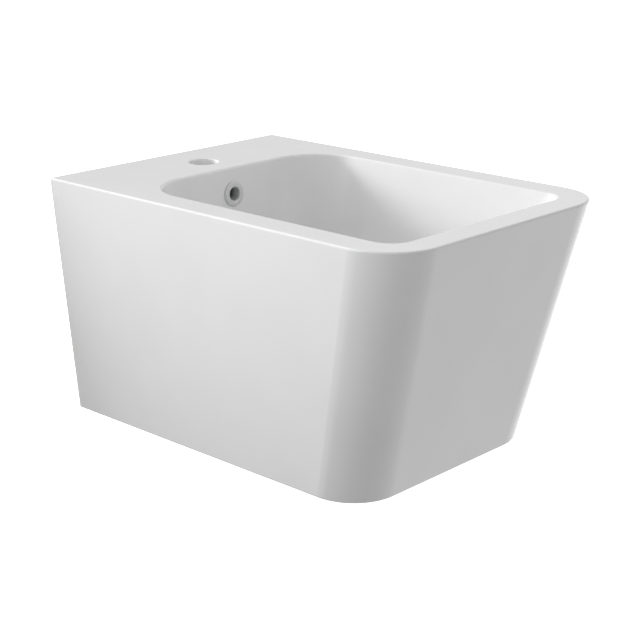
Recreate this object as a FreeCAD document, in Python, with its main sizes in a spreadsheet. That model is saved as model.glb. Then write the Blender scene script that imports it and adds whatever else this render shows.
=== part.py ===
import FreeCAD, Part
import math
import os
import re
import Sketcher
from FreeCAD import Placement, Rotation, Vector

# Wall-hung bidet: a tapered ceramic body with a rectangular bowl, its wall fixings, overflow ring,
# push-open waste and bottle trap.
#
# Millimetres. The origin lies on the wall plane, midway between the two wall studs. +X is to the right
# of someone facing the bidet, +Y goes into the wall and +Z is up, so the body reaches out along -Y.

doc = FreeCAD.newDocument("wall_hung_bidet")
sheet = doc.addObject("Spreadsheet::Sheet", "Sizes")

sizes = {
    # outer form of the ceramic body: the rim outline narrows evenly down to the foot outline
    "body_width": 360,
    "front_rim": 35,
    "body_height": 286,
    "foot_width": 306,
    "foot_depth": 446,
    "rim_corner": 61,
    "foot_corner": 56,
    "rim_edge": 2,
    "foot_edge": 3,
    "shell_wall": 11,
    "deck_thickness": 15,
    "rear_web": 18,
    # rear of the ceramic body
    "stud_drop": 80,
    "stud_spacing": 180,
    "window_width": 250,
    "window_drop": 48,
    "window_corner": 25,
    # bowl
    "bowl_width": 287,
    "bowl_setback": 111,
    "bowl_length": 370,
    "bowl_depth": 120,
    "bowl_rear_corner": 62,
    "bowl_front_corner": 24,
    "side_draft": 22,
    "rear_draft": 7,
    "front_draft": 17,
    "floor_rear_corner": 90,
    "floor_front_corner": 86,
    "floor_fillet": 50,
    "floor_dish": 4,
    "dish_run": 20,
    "bowl_wall": 11,
    "lip_radius": 3,
    # tap hole
    "tap_hole": 35,
    "tap_setback": 62,
    "tap_edge": 1.5,
    # overflow hole, its moulded duct and the trim ring
    "overflow_drop": 31,
    "overflow_bore": 22,
    "duct_width": 40,
    "duct_depth": 9,
    "duct_wall": 6,
    "duct_flat": 2,
    "duct_bend": 26,
    "ring_diameter": 30,
    "ring_opening": 16,
    "ring_flange": 2.6,
    "ring_spigot": 9,
    "ring_clearance": 0.8,
    # drain boss and waste
    "drain_setback": 285,
    "drain_bore": 46,
    "boss_wall": 23,
    "boss_land": 2,
    "flange_diameter": 64,
    "flange_thickness": 2.5,
    "flange_clearance": 1,
    "gasket_thickness": 1.5,
    "barrel_diameter": 42,
    "barrel_wall": 2.5,
    "slot_width": 9,
    "slot_spare": 1.5,
    "washer_diameter": 62,
    "cone_washer": 6,
    "cone_nose": 4,
    "friction_washer": 2,
    "backnut_flats": 56,
    "backnut_height": 9,
    "tail_length": 14,
    "thread_clearance": 0.1,
    # click unit and plug
    "bridge_drop": 4,
    "bridge_thickness": 5,
    "bridge_bar": 4,
    "hub_diameter": 18,
    "housing_diameter": 15,
    "housing_height": 20,
    "housing_spigot": 9.8,
    "housing_floor": 2,
    "stem_diameter": 7,
    "stem_clearance": 0.06,
    "stem_guided": 12,
    "spring_wire": 0.8,
    "spring_coil": 5,
    "spring_turns": 4,
    "plug_diameter": 62,
    "plug_rim": 2,
    "plug_crown": 3,
    "plug_boss": 14,
    "plug_boss_height": 5,
    "plug_travel": 9,
    "plug_seat_gap": 0.3,
    "seal_thickness": 2,
    "seal_width": 4,
    # bottle trap and outlet
    "inlet_washer": 3,
    "inlet_nut_height": 22,
    "nut_wall": 4,
    "nut_lip": 3,
    "rib_height": 1.6,
    "rib_width": 3,
    "trap_flange": 3,
    "trap_neck": 5,
    "trap_dome": 8,
    "trap_diameter": 62,
    "trap_wall": 2.5,
    "pipe_diameter": 32,
    "pipe_wall": 1.5,
    "outlet_drop": 37,
    "branch_diameter": 40,
    "branch_reach": 54,
    "branch_socket": 20,
    "slip_clearance": 0.3,
    "seal_depth": 50,
    "cup_gap": 2,
    "cup_thread": 14,
    "cup_wall": 3,
    "cup_floor_gap": 13,
    "cup_seal": 2,
    "cup_clearance": 0.1,
    "outlet_washer": 5,
    "outlet_nut_height": 22,
    "spigot_length": 55,
    "spigot_step": 0.25,
    "rosette_diameter": 76,
    "rosette_height": 12,
    "rosette_wall": 1.5,
    "wall_gap": 0.5,
    # wall fixings
    "stud_diameter": 12,
    "stud_embed": 75,
    "stud_spare": 8,
    "stud_shank": 10.8,
    "stud_point": 1,
    "sleeve_bore": 12.6,
    "stud_hole": 28,
    "sleeve_clearance": 0.4,
    "sleeve_flange": 3,
    "sleeve_flange_diameter": 40,
    "stud_washer": 2.5,
    "stud_washer_diameter": 36,
    "stud_washer_bore": 13,
    "nut_flats": 18,
    "nut_height": 10,
    "cover_wall": 1.6,
    "cover_clearance": 0.4,
}
for row, (size_name, millimetres) in enumerate(sizes.items(), start=1):
    sheet.set(f"A{row}", size_name)
    sheet.set(f"B{row}", str(millimetres))
    sheet.setAlias(f"B{row}", size_name)
doc.recompute()


def bound(formula):
    """The formula with each size's name pointing at its cell."""
    def cell(word):
        return "Sizes." + word.group() if word.group() in sizes else word.group()

    return re.sub(r"[a-z][a-z_]*", cell, str(formula))


def number(formula):
    """The formula's present value."""
    return float(sheet.evalExpression(str(formula)))


def follow(thing, path, formula):
    """Tie one property to a formula of sizes."""
    thing.setExpression(path, bound(formula))


def new_body(label):
    body = doc.addObject("PartDesign::Body", label)
    body.Label = label
    return body


def place(body, x="0", y="0", z="0", turn=0):
    """Stand a body at a point that follows the sizes, turned about X by whole right angles."""
    body.Placement = Placement(Vector(number(x), number(y), number(z)), Rotation(Vector(1, 0, 0), turn))
    follow(body, "Placement.Base.x", x)
    follow(body, "Placement.Base.y", y)
    follow(body, "Placement.Base.z", z)


def new_sketch(body, name, plane, offset="0"):
    """A sketch on one of the body's own planes, moved along that plane's normal."""
    sketch = body.newObject("Sketcher::SketchObject", name)
    support = next(feature for feature in body.Origin.OriginFeatures if feature.Role == plane)
    sketch.AttachmentSupport = [(support, "")]
    sketch.MapMode = "FlatFace"
    follow(sketch, "AttachmentOffset.Base.z", offset)
    return sketch


def constrain(sketch, formula, kind, *places):
    """A driving dimension whose value follows a formula."""
    index = sketch.addConstraint(Sketcher.Constraint(kind, *places, number(formula)))
    follow(sketch, f"Constraints[{index}]", formula)


def fix_point(sketch, edge, end, across, up):
    """Hold one end of an edge at a distance across and up from the sketch's origin."""
    constrain(sketch, across, "DistanceX", -1, 1, edge, end)
    constrain(sketch, up, "DistanceY", -1, 1, edge, end)


def outline(body, name, plane, points, offset="0"):
    """A closed outline of straight edges through the given corners."""
    sketch = new_sketch(body, name, plane, offset)
    corners = [Vector(number(across), number(up), 0) for across, up in points]
    for here, there in zip(corners, corners[1:] + corners[:1]):
        sketch.addGeometry(Part.LineSegment(here, there), False)
    for edge in range(len(corners)):
        following = (edge + 1) % len(corners)
        sketch.addConstraint(Sketcher.Constraint("Coincident", edge, 2, following, 1))
    for edge, (across, up) in enumerate(points):
        fix_point(sketch, edge, 1, across, up)
    return sketch


def circle(body, name, plane, across, up, radius, offset="0"):
    sketch = new_sketch(body, name, plane, offset)
    centre = Vector(number(across), number(up), 0)
    sketch.addGeometry(Part.Circle(centre, Vector(0, 0, 1), number(radius)), False)
    fix_point(sketch, 0, 3, across, up)
    constrain(sketch, radius, "Radius", 0)
    return sketch


def rounded_outline(body, name, height, half_width, rear, front, front_radius, rear_radius=None):
    """A level outline, the same on both sides: straight edges with rounded corners at the front and,
    where a rear radius is given, at the rear too. It runs from the rear left corner round the front."""
    sketch = new_sketch(body, name, "XY_Plane", height)
    side = number(half_width)
    back = number(rear)
    ahead = number(front)
    corner = number(front_radius)
    tail = number(rear_radius) if rear_radius else 0

    def arc(x, y, radius, start):
        centre = Part.Circle(Vector(x, y, 0), Vector(0, 0, 1), radius)
        return Part.ArcOfCircle(centre, math.radians(start), math.radians(start + 90))

    edges = [
        Part.LineSegment(Vector(-side, back - tail, 0), Vector(-side, ahead + corner, 0)),
        arc(-side + corner, ahead + corner, corner, 180),
        Part.LineSegment(Vector(-side + corner, ahead, 0), Vector(side - corner, ahead, 0)),
        arc(side - corner, ahead + corner, corner, 270),
        Part.LineSegment(Vector(side, ahead + corner, 0), Vector(side, back - tail, 0)),
    ]
    if rear_radius:
        edges.append(arc(side - tail, back - tail, tail, 0))
    edges.append(Part.LineSegment(Vector(side - tail, back, 0), Vector(-side + tail, back, 0)))
    if rear_radius:
        edges.append(arc(-side + tail, back - tail, tail, 90))
    for edge in edges:
        sketch.addGeometry(edge, False)
    rear_edge = 6 if rear_radius else 5
    arcs = (1, 3, 5, 7) if rear_radius else (1, 3)
    for edge in range(len(edges)):
        following = (edge + 1) % len(edges)
        smooth = edge in arcs or following in arcs
        kind = "Tangent" if smooth else "Coincident"
        sketch.addConstraint(Sketcher.Constraint(kind, edge, 2, following, 1))
    sketch.addConstraint(Sketcher.Constraint("Vertical", 0))
    sketch.addConstraint(Sketcher.Constraint("Vertical", 4))
    sketch.addConstraint(Sketcher.Constraint("Horizontal", 2))
    sketch.addConstraint(Sketcher.Constraint("Horizontal", rear_edge))
    constrain(sketch, f"-({half_width})", "DistanceX", -1, 1, 0, 1)
    constrain(sketch, half_width, "DistanceX", -1, 1, 4, 1)
    constrain(sketch, front, "DistanceY", -1, 1, 2, 1)
    constrain(sketch, rear, "DistanceY", -1, 1, rear_edge, 1)
    constrain(sketch, front_radius, "Radius", 1)
    constrain(sketch, front_radius, "Radius", 3)
    if rear_radius:
        constrain(sketch, rear_radius, "Radius", 5)
        constrain(sketch, rear_radius, "Radius", 7)
    return sketch


def revolve(body, name, sketch, kind="PartDesign::Revolution"):
    """Turn a sketch a full circle about its own upright axis."""
    turned = body.newObject(kind, name)
    turned.Profile = sketch
    turned.ReferenceAxis = (sketch, ["V_Axis"])
    turned.Angle = 360
    return turned


def extrude(body, name, sketch, length, kind="PartDesign::Pad", against=False, middle=False):
    """Pad or pocket a sketch by a length, along its normal or against it, or to both sides."""
    feature = body.newObject(kind, name)
    feature.Profile = sketch
    follow(feature, "Length", length)
    feature.Reversed = against
    if middle:
        feature.SideType = "Symmetric"
    return feature


def loft(body, name, sketches, kind="PartDesign::AdditiveLoft"):
    feature = body.newObject(kind, name)
    feature.Profile = sketches[0]
    feature.Sections = sketches[1:]
    feature.Ruled = True
    return feature


def round_edges(body, name, radius, wanted):
    """Fillet the edges of the body so far that the test picks out."""
    doc.recompute()
    tip = body.Tip
    names = [f"Edge{i}" for i, edge in enumerate(tip.Shape.Edges, start=1) if wanted(edge)]
    fillet = body.newObject("PartDesign::Fillet", name)
    fillet.Base = (tip, names)
    follow(fillet, "Radius", radius)
    return fillet


def level(edge, height):
    """Whether an edge lies all at one height."""
    box = edge.BoundBox
    return abs(box.ZMin - height) < 0.001 and abs(box.ZMax - height) < 0.001


def turned_piece(label, points, x="0", y="0", z="0", turn=0):
    """A round piece: corners given as radius and distance along its axis."""
    body = new_body(label)
    profile = outline(body, label + "_profile", "XZ_Plane", points)
    revolve(body, label + "_turned", profile)
    place(body, x, y, z, turn)
    return body


def hexagon(flats):
    """Corners of a hexagon from its width across flats."""
    point = f"({flats}) / sqrt(3)"
    half = f"({flats}) / 2"
    return [
        (point, "0"),
        (f"{point} / 2", half),
        (f"-{point} / 2", half),
        (f"-{point}", "0"),
        (f"-{point} / 2", f"-{half}"),
        (f"{point} / 2", f"-{half}"),
    ]


def hex_nut(label, flats, bore, height, x="0", y="0", z="0", turn=0):
    """A hexagon nut, its corners turned off at both ends."""
    body = new_body(label)
    extrude(body, label + "_hexagon", outline(body, label + "_flats", "XY_Plane", hexagon(flats)), height)
    hole = circle(body, label + "_hole", "XY_Plane", "0", "0", bore)
    extrude(body, label + "_bore", hole, height, "PartDesign::Pocket", against=True)
    flat = f"({flats}) * 0.49"
    point = f"({flats}) * 0.6"
    slope = f"({flats}) * 0.06"
    low = [(flat, "0"), (point, "0"), (point, slope)]
    high = [(flat, height), (point, f"({height}) - {slope}"), (point, height)]
    for end, corners in (("low", low), ("high", high)):
        sketch = outline(body, f"{label}_{end}_corner", "XZ_Plane", corners)
        revolve(body, f"{label}_{end}_chamfer", sketch, "PartDesign::Groove")
    place(body, x, y, z, turn)
    return body


def ribs(body, radius, low, high, count):
    """Grip ribs along the outside of a round piece."""
    inner = f"({radius}) - rib_height"
    outer = f"({radius}) + rib_height"
    corners = [
        (inner, "-rib_width / 2"),
        (outer, "-rib_width / 2"),
        (outer, "rib_width / 2"),
        (inner, "rib_width / 2"),
    ]
    sketch = outline(body, body.Label + "_rib_outline", "XY_Plane", corners, low)
    rib = extrude(body, body.Label + "_rib", sketch, f"({high}) - ({low})")
    doc.recompute()
    pattern = body.newObject("PartDesign::PolarPattern", body.Label + "_ribs")
    pattern.Originals = [rib]
    axis = next(feature for feature in body.Origin.OriginFeatures if feature.Role == "Z_Axis")
    pattern.Axis = (axis, [""])
    pattern.Angle = 360
    pattern.Occurrences = count
    body.Tip = pattern


def pair(label, right):
    """A piece and its mirror image on the other side, as two separate solids."""
    left = doc.addObject("Part::Mirroring", right.Label + "_left")
    left.Source = right
    left.Normal = Vector(1, 0, 0)
    both = doc.addObject("Part::Compound", label)
    both.Label = label
    both.Links = [right, left]
    return both


# Heights that several pieces share, from the rim downwards, and the depth from the wall to the front.
RIM = "stud_drop"
FOOT = "(stud_drop - body_height)"
FLOOR = "(stud_drop - bowl_depth)"
FLANGE_TOP = f"({FLOOR} - floor_dish)"
SEAT = f"({FLANGE_TOP} - flange_thickness - gasket_thickness)"
DUCT = f"({SEAT} - duct_wall - duct_depth / 2)"
BOSS = f"({SEAT} - 2 * duct_wall - duct_depth - boss_land)"
FRICTION = f"({BOSS} - cone_washer)"
BACKNUT = f"({FRICTION} - friction_washer)"
TAIL = f"({BACKNUT} - backnut_height - tail_length)"
TRAP = f"({TAIL} - inlet_washer)"
OUTLET = f"({TRAP} - outlet_drop)"
OVERFLOW = "(stud_drop - overflow_drop)"
DRAIN = "-drain_setback"
DEPTH = "(bowl_setback + bowl_length + front_rim)"


# Ceramic body. The outer form is a ruled loft from the rim outline down to the foot outline, with softened
# rim and foot edges. It starts behind the wall plane and is then cut off flat there.
ceramic = new_body("ceramic_body")
foot_outline = rounded_outline(
    ceramic, "foot_outline", FOOT, "foot_width / 2", "rear_web", "-foot_depth", "foot_corner")
rim_outline = rounded_outline(
    ceramic, "rim_outline", RIM, "body_width / 2", "rear_web", f"-{DEPTH}", "rim_corner")
loft(ceramic, "outer_form", [rim_outline, foot_outline])
rim_height = number(RIM)
foot_height = number(FOOT)
round_edges(
    ceramic, "rim_rounding", "rim_edge",
    lambda edge: level(edge, rim_height) and edge.BoundBox.YMin < -1)
round_edges(
    ceramic, "foot_rounding", "foot_edge",
    lambda edge: level(edge, foot_height) and edge.BoundBox.YMin < -1)
rear_face = outline(
    ceramic, "rear_face", "XZ_Plane",
    [
        ("-body_width", f"{FOOT} - rear_web"),
        ("body_width", f"{FOOT} - rear_web"),
        ("body_width", f"{RIM} + rear_web"),
        ("-body_width", f"{RIM} + rear_web"),
    ],
)
extrude(ceramic, "rear_cut", rear_face, "2 * rear_web", "PartDesign::Pocket")

# The hollow under the deck keeps an even shell wall, and a web at the rear for the wall fixings.
hollow_top = f"({RIM} - deck_thickness)"
inner_width = "(body_width / 2 - shell_wall - (body_width - foot_width) / 2 * deck_thickness / body_height)"
inner_front = f"(shell_wall - {DEPTH} + ({DEPTH} - foot_depth) * deck_thickness / body_height)"
hollow_foot = rounded_outline(
    ceramic, "hollow_foot", FOOT, "foot_width / 2 - shell_wall", "-rear_web",
    "-foot_depth + shell_wall", "foot_corner - shell_wall")
hollow_deck = rounded_outline(
    ceramic, "hollow_deck", hollow_top, inner_width, "-rear_web", inner_front, "rim_corner - shell_wall")
loft(ceramic, "hollow", [hollow_deck, hollow_foot], "PartDesign::SubtractiveLoft")

# The bowl's underside hangs from the deck, one wall thickness outside the bowl. It is rounded as a form of its
# own and then joined to the deck, so that it may also meet the front wall.
underside = new_body("bowl_underside")
form_top = f"({RIM} - deck_thickness / 2)"
form_floor = f"({FLOOR} - bowl_wall)"
form_rim = rounded_outline(
    underside, "form_rim", form_top, "bowl_width / 2 + bowl_wall", "-bowl_setback + bowl_wall",
    "-bowl_setback - bowl_length - bowl_wall", "bowl_front_corner + bowl_wall",
    "bowl_rear_corner + bowl_wall")
form_base = rounded_outline(
    underside, "form_base", form_floor, "bowl_width / 2 - side_draft + bowl_wall",
    "-bowl_setback - rear_draft + bowl_wall",
    "-bowl_setback - bowl_length + front_draft - bowl_wall", "floor_front_corner + bowl_wall",
    "floor_rear_corner + bowl_wall")
loft(underside, "bowl_form", [form_rim, form_base])
form_height = number(form_floor)
round_edges(
    underside, "bowl_form_rounding", "floor_fillet + bowl_wall", lambda edge: level(edge, form_height))
hung_bowl = ceramic.newObject("PartDesign::Boolean", "hung_bowl")
hung_bowl.Type = "Fuse"
hung_bowl.setObjects([underside])

# A boss under the floor takes the waste, and a flat duct runs down behind the bowl and into the boss.
boss_outline = circle(
    ceramic, "boss_outline", "XY_Plane", "0", DRAIN, "drain_bore / 2 + boss_wall", BOSS)
extrude(ceramic, "boss", boss_outline, f"{FLOOR} - bowl_wall / 2 - {BOSS}")
DUCT_SETBACK = "(-bowl_setback + bowl_wall + duct_depth / 2)"


def duct(name, kind, wall, end):
    """Sweep a flat rounded section down behind the bowl, round one bend and forward to the drain."""
    top = f"({OVERFLOW} + overflow_bore / 2 + {wall})"
    half = f"(duct_width / 2 + {wall})"
    depth = f"(duct_depth / 2 + {wall})"
    section = rounded_outline(
        ceramic, name + "_section", top, half, f"{DUCT_SETBACK} + {depth}", f"{DUCT_SETBACK} - {depth}",
        f"{depth} - duct_flat / 2", f"{depth} - duct_flat / 2")
    path = new_sketch(ceramic, name + "_path", "YZ_Plane")
    back = number(DUCT_SETBACK)
    low = number(DUCT)
    bend = number("duct_bend")
    high = number(top)
    ahead = number(end)
    path.addGeometry(Part.LineSegment(Vector(back, high, 0), Vector(back, low + bend, 0)), False)
    turn = Part.Circle(Vector(back - bend, low + bend, 0), Vector(0, 0, 1), bend)
    path.addGeometry(Part.ArcOfCircle(turn, math.radians(270), math.radians(360)), False)
    path.addGeometry(Part.LineSegment(Vector(back - bend, low, 0), Vector(ahead, low, 0)), False)
    path.addConstraint(Sketcher.Constraint("Tangent", 0, 2, 1, 2))
    path.addConstraint(Sketcher.Constraint("Tangent", 1, 1, 2, 1))
    path.addConstraint(Sketcher.Constraint("Vertical", 0))
    path.addConstraint(Sketcher.Constraint("Horizontal", 2))
    constrain(path, "duct_bend", "Radius", 1)
    fix_point(path, 0, 1, DUCT_SETBACK, top)
    fix_point(path, 2, 2, end, DUCT)
    pipe = ceramic.newObject(kind, name)
    pipe.Profile = section
    pipe.Spine = (path, ["Edge1", "Edge2", "Edge3"])
    return pipe


duct("duct_form", "PartDesign::AdditivePipe", "duct_wall", f"{DRAIN} + drain_bore / 2 + duct_wall")

# The bowl is cut out with a core of its own shape, rounded where the walls meet the floor, and then its
# lip is softened.
core = new_body("bowl_core")
core_rim = rounded_outline(
    core, "core_rim", RIM, "bowl_width / 2", "-bowl_setback", "-bowl_setback - bowl_length",
    "bowl_front_corner", "bowl_rear_corner")
core_floor = rounded_outline(
    core, "core_floor", FLOOR, "bowl_width / 2 - side_draft", "-bowl_setback - rear_draft",
    "-bowl_setback - bowl_length + front_draft", "floor_front_corner", "floor_rear_corner")
loft(core, "core_form", [core_rim, core_floor])
floor_height = number(FLOOR)
round_edges(core, "core_rounding", "floor_fillet", lambda edge: level(edge, floor_height))
bowl = ceramic.newObject("PartDesign::Boolean", "bowl")
bowl.Type = "Cut"
bowl.setObjects([core])
bowl_half = number("bowl_width / 2") + 0.01
bowl_front = number("-bowl_setback - bowl_length") - 0.01
bowl_rear = number("-bowl_setback") + 0.01
round_edges(
    ceramic, "lip_rounding", "lip_radius",
    lambda edge: level(edge, rim_height)
    and edge.BoundBox.XMin > -bowl_half and edge.BoundBox.XMax < bowl_half
    and edge.BoundBox.YMin > bowl_front and edge.BoundBox.YMax < bowl_rear)

# Drain: a shallow dish in the floor, a recess for the waste flange and the bore through the boss.
dish_radius = "(flange_diameter / 2 + flange_clearance + dish_run)"
recess_radius = "(flange_diameter / 2 + flange_clearance)"
drain_profile = outline(
    ceramic, "drain_profile", "XZ_Plane",
    [
        ("0", f"{FLOOR} + floor_dish"),
        (dish_radius, f"{FLOOR} + floor_dish"),
        (dish_radius, FLOOR),
        (recess_radius, FLANGE_TOP),
        (recess_radius, SEAT),
        ("drain_bore / 2", SEAT),
        ("drain_bore / 2", f"{BOSS} - boss_land"),
        ("0", f"{BOSS} - boss_land"),
    ],
    "drain_setback",
)
revolve(ceramic, "drain", drain_profile, "PartDesign::Groove")
duct("duct_void", "PartDesign::SubtractivePipe", "0", DRAIN)

# Round holes: the overflow, the tap hole with its softened top edge, and the two stud holes.
overflow_hole = circle(
    ceramic, "overflow_hole", "XZ_Plane", "0", OVERFLOW, "overflow_bore / 2", f"-{DUCT_SETBACK}")
extrude(
    ceramic, "overflow", overflow_hole, "bowl_wall + duct_depth + rear_draft", "PartDesign::Pocket",
    against=True)
tap_circle = circle(ceramic, "tap_circle", "XY_Plane", "0", "-tap_setback", "tap_hole / 2", RIM)
extrude(ceramic, "tap", tap_circle, "deck_thickness + boss_land", "PartDesign::Pocket")
tap_radius = number("tap_hole / 2")
round_edges(
    ceramic, "tap_rounding", "tap_edge",
    lambda edge: level(edge, rim_height) and abs(edge.BoundBox.XMax - tap_radius) < 0.01)
for side, across in (("right", "stud_spacing / 2"), ("left", "-stud_spacing / 2")):
    stud_circle = circle(ceramic, f"stud_circle_{side}", "XZ_Plane", across, "0", "stud_hole / 2")
    extrude(
        ceramic, f"stud_hole_{side}", stud_circle, "2 * rear_web + 2 * boss_land", "PartDesign::Pocket",
        middle=True)

# The rear window lets the outlet pipe through to the wall.
half_window = "window_width / 2"
window_outline = outline(
    ceramic, "window_outline", "XZ_Plane",
    [
        (f"-{half_window}", f"{FOOT} - boss_land"),
        (half_window, f"{FOOT} - boss_land"),
        (half_window, "-window_drop"),
        (f"-{half_window}", "-window_drop"),
    ],
)
extrude(
    ceramic, "window", window_outline, "2 * rear_web + 2 * boss_land", "PartDesign::Pocket", middle=True)
window_side = number(half_window)
window_top = number("-window_drop")
round_edges(
    ceramic, "window_rounding", "window_corner",
    lambda edge: level(edge, window_top) and abs(abs(edge.CenterOfMass.x) - window_side) < 0.01)

# Overflow ring: a trim ring with a spigot in the overflow hole, square to the bowl's sloping rear wall.
overflow_ring = turned_piece(
    "overflow_ring",
    [
        ("ring_opening / 2", "ring_flange * 0.6"),
        ("ring_opening / 2 + ring_flange", "ring_flange"),
        ("ring_diameter / 2 - ring_flange", "ring_flange"),
        ("ring_diameter / 2", "ring_flange * 0.4"),
        ("ring_diameter / 2", "0"),
        ("overflow_bore / 2 - ring_clearance", "0"),
        ("overflow_bore / 2 - ring_clearance", "-ring_spigot"),
        ("ring_opening / 2", "-ring_spigot"),
    ],
    y="-bowl_setback - rear_draft * overflow_drop / bowl_depth",
    z=OVERFLOW,
    turn=90,
)
follow(overflow_ring, "Placement.Rotation.Angle", "90 deg - atan(rear_draft / bowl_depth)")

# Waste: a flanged barrel in the drain, with overflow slots and a bridge that carries the click unit.
DOWN_DUCT = f"({DUCT} - {FLANGE_TOP})"
SLOT = "(duct_depth + 2 * slot_spare)"
BRIDGE = f"({DOWN_DUCT} - {SLOT} / 2 - bridge_drop)"
waste = new_body("waste_body")
barrel_radius = "barrel_diameter / 2"
barrel_inside = "(barrel_diameter / 2 - barrel_wall)"
waste_profile = outline(
    waste, "waste_profile", "XZ_Plane",
    [
        (barrel_inside, "0"),
        ("flange_diameter / 2 - flange_thickness / 2", "0"),
        ("flange_diameter / 2", "-flange_thickness / 2"),
        ("flange_diameter / 2", "-flange_thickness"),
        (barrel_radius, "-flange_thickness"),
        (barrel_radius, f"{TAIL} - {FLANGE_TOP}"),
        (barrel_inside, f"{TAIL} - {FLANGE_TOP}"),
    ],
)
revolve(waste, "waste_turned", waste_profile)
slot_corners = [
    ("-slot_width / 2", f"{DOWN_DUCT} - {SLOT} / 2"),
    ("slot_width / 2", f"{DOWN_DUCT} - {SLOT} / 2"),
    ("slot_width / 2", f"{DOWN_DUCT} + {SLOT} / 2"),
    ("-slot_width / 2", f"{DOWN_DUCT} + {SLOT} / 2"),
]
for plane in ("XZ_Plane", "YZ_Plane"):
    slot = outline(waste, f"slot_{plane[:2].lower()}", plane, slot_corners)
    extrude(
        waste, f"slots_{plane[:2].lower()}", slot, "barrel_diameter + 2 * barrel_wall",
        "PartDesign::Pocket", middle=True)
bar_reach = f"({barrel_inside} + barrel_wall / 2)"
bar_half = "bridge_bar / 2"
bars = {
    "bar_x": [(f"-{bar_reach}", f"-{bar_half}"), (bar_reach, f"-{bar_half}"),
              (bar_reach, bar_half), (f"-{bar_reach}", bar_half)],
    "bar_y": [(f"-{bar_half}", f"-{bar_reach}"), (bar_half, f"-{bar_reach}"),
              (bar_half, bar_reach), (f"-{bar_half}", bar_reach)],
}
for name, corners in bars.items():
    bar_outline = outline(waste, name + "_outline", "XY_Plane", corners, BRIDGE)
    extrude(waste, name, bar_outline, "bridge_thickness", against=True)
hub_outline = circle(waste, "hub_outline", "XY_Plane", "0", "0", "hub_diameter / 2", BRIDGE)
extrude(waste, "hub", hub_outline, "bridge_thickness", against=True)
hub_bore = circle(
    waste, "hub_bore_outline", "XY_Plane", "0", "0", "housing_spigot / 2 + thread_clearance", BRIDGE)
extrude(waste, "hub_bore", hub_bore, "bridge_thickness", "PartDesign::Pocket")
place(waste, "0", DRAIN, FLANGE_TOP)

waste_gasket = turned_piece(
    "waste_gasket",
    [
        ("drain_bore / 2", "0"),
        ("flange_diameter / 2", "0"),
        ("flange_diameter / 2", "gasket_thickness"),
        ("drain_bore / 2", "gasket_thickness"),
    ],
    y=DRAIN, z=SEAT,
)
waste_bore = "barrel_diameter / 2 + thread_clearance"
cone_washer = turned_piece(
    "waste_cone_washer",
    [
        (waste_bore, "-cone_washer"),
        ("washer_diameter / 2", "-cone_washer"),
        ("washer_diameter / 2", "0"),
        ("drain_bore / 2 - thread_clearance", "0"),
        ("(barrel_diameter + drain_bore) / 4", "cone_nose"),
        (waste_bore, "cone_nose"),
    ],
    y=DRAIN, z=BOSS,
)
friction_washer = turned_piece(
    "waste_friction_washer",
    [
        (waste_bore, "-friction_washer"),
        ("washer_diameter / 2", "-friction_washer"),
        ("washer_diameter / 2", "0"),
        (waste_bore, "0"),
    ],
    y=DRAIN, z=FRICTION,
)
backnut = hex_nut(
    "waste_backnut", "backnut_flats", waste_bore, "backnut_height",
    y=DRAIN, z=f"{BACKNUT} - backnut_height")

# Click unit: a housing screwed into the bridge, the spring in its bore and the stem that rides in it.
# The plug stands open at rest and travels down until its seal meets the waste flange.
HOUSING_TOP = f"({FLANGE_TOP} + {BRIDGE} + housing_height)"
BORE_FLOOR = f"({FLANGE_TOP} + {BRIDGE} - bridge_thickness - housing_floor)"
STEM_FOOT = f"({HOUSING_TOP} - stem_guided)"
PLUG = f"({FLANGE_TOP} + plug_seat_gap + seal_thickness + plug_travel)"
stem_bore = "stem_diameter / 2 + stem_clearance"
click_housing = turned_piece(
    "click_housing",
    [
        ("0", f"{BORE_FLOOR} - housing_floor - {HOUSING_TOP}"),
        ("housing_spigot / 2", f"{BORE_FLOOR} - housing_floor - {HOUSING_TOP}"),
        ("housing_spigot / 2", "-housing_height"),
        ("housing_diameter / 2", "-housing_height"),
        ("housing_diameter / 2", "0"),
        (stem_bore, "0"),
        (stem_bore, f"{BORE_FLOOR} - {HOUSING_TOP}"),
        ("0", f"{BORE_FLOOR} - {HOUSING_TOP}"),
    ],
    y=DRAIN, z=HOUSING_TOP,
)
plug_stem = turned_piece(
    "plug_stem",
    [
        ("0", "0"),
        ("stem_diameter / 2", "0"),
        ("stem_diameter / 2", f"{PLUG} - {STEM_FOOT}"),
        ("0", f"{PLUG} - {STEM_FOOT}"),
    ],
    y=DRAIN, z=STEM_FOOT,
)
plug_cap = turned_piece(
    "plug_cap",
    [
        ("0", "0"),
        ("stem_diameter / 2", "0"),
        ("stem_diameter / 2", "-plug_boss_height"),
        ("plug_boss / 2", "-plug_boss_height"),
        ("plug_boss / 2", "0"),
        ("plug_diameter / 2 - plug_rim / 2", "0"),
        ("plug_diameter / 2", "plug_rim / 2"),
        ("plug_diameter / 2", "plug_rim * 0.8"),
        ("plug_diameter / 2 - plug_rim", "plug_rim + plug_crown * 0.3"),
        ("plug_diameter * 0.36", "plug_rim + plug_crown * 0.7"),
        ("plug_diameter * 0.2", "plug_rim + plug_crown * 0.93"),
        ("0", "plug_rim + plug_crown"),
    ],
    y=DRAIN, z=PLUG,
)
seal_inside = "barrel_diameter / 2"
plug_seal = turned_piece(
    "plug_seal",
    [
        (seal_inside, "-seal_thickness"),
        (f"{seal_inside} + seal_width", "-seal_thickness"),
        (f"{seal_inside} + seal_width", "0"),
        (seal_inside, "0"),
    ],
    y=DRAIN, z=PLUG,
)

# The spring's centre line is a helix of quarter turns, each two arcs that leave and arrive along it.
wire = number("spring_wire / 2")
coil = number("spring_coil / 2")
spring_low = number(BORE_FLOOR) + wire
spring_high = number(STEM_FOOT) - wire
spring_axis = number(DRAIN)
turns = number("spring_turns")
rise = (spring_high - spring_low) / turns
slope = math.atan2(rise, 2 * math.pi * coil)


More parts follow.
